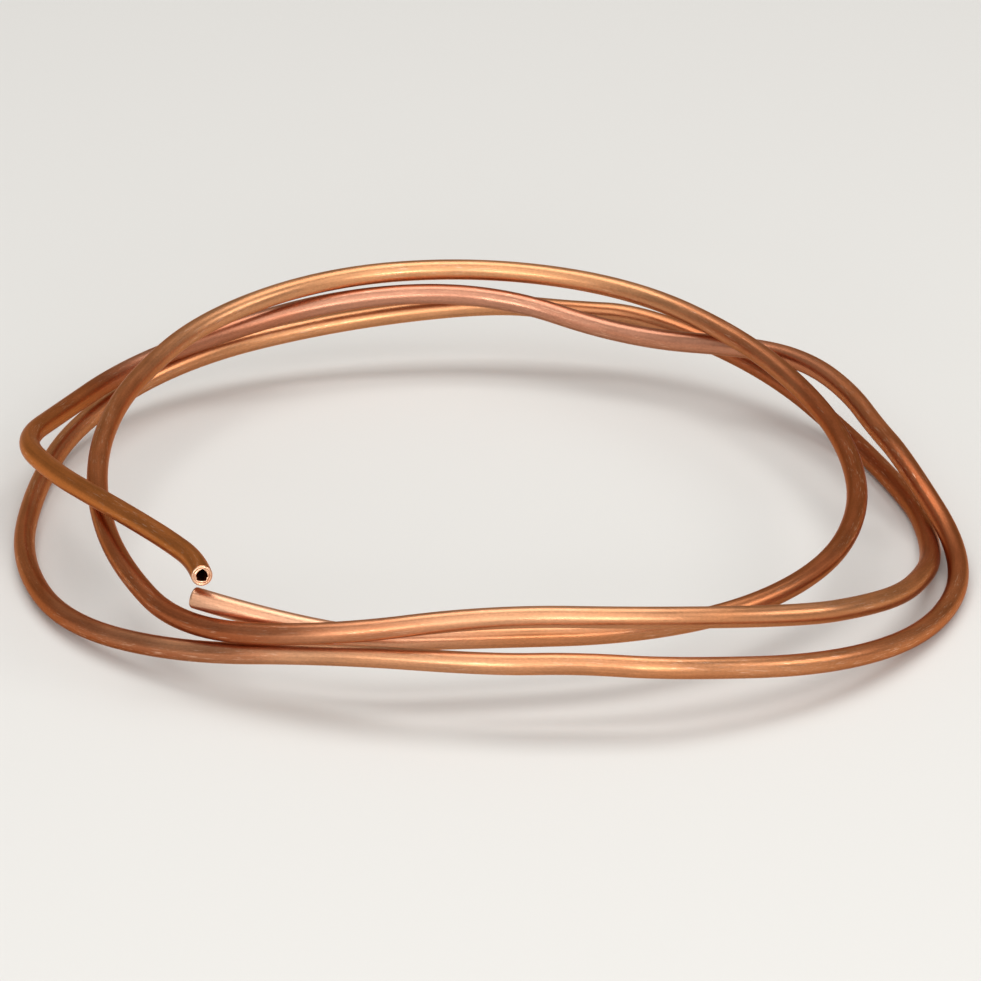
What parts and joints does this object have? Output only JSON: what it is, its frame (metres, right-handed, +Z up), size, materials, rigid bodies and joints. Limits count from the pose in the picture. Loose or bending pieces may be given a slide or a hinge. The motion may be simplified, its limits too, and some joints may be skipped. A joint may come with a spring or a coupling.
{
  "type": "copper tube coil",
  "caption": "Length of thin bare copper tube, wound by hand into a loose open coil with wavy overlapping turns, both cut ends free and open, lying flat.",
  "frame": {"origin": "middle of the coil's outline, on the floor that it lies on", "axes": "+Z up, +Y from the coil's front, where both cut ends are, to its back, +X to the right"},
  "size_m": [0.2248, 0.2264, 0.0294],
  "materials": {
    "copper": "satin"
  },
  "bodies": {
    "root": {"copper_tube": "copper"}
  },
  "joints": []
}
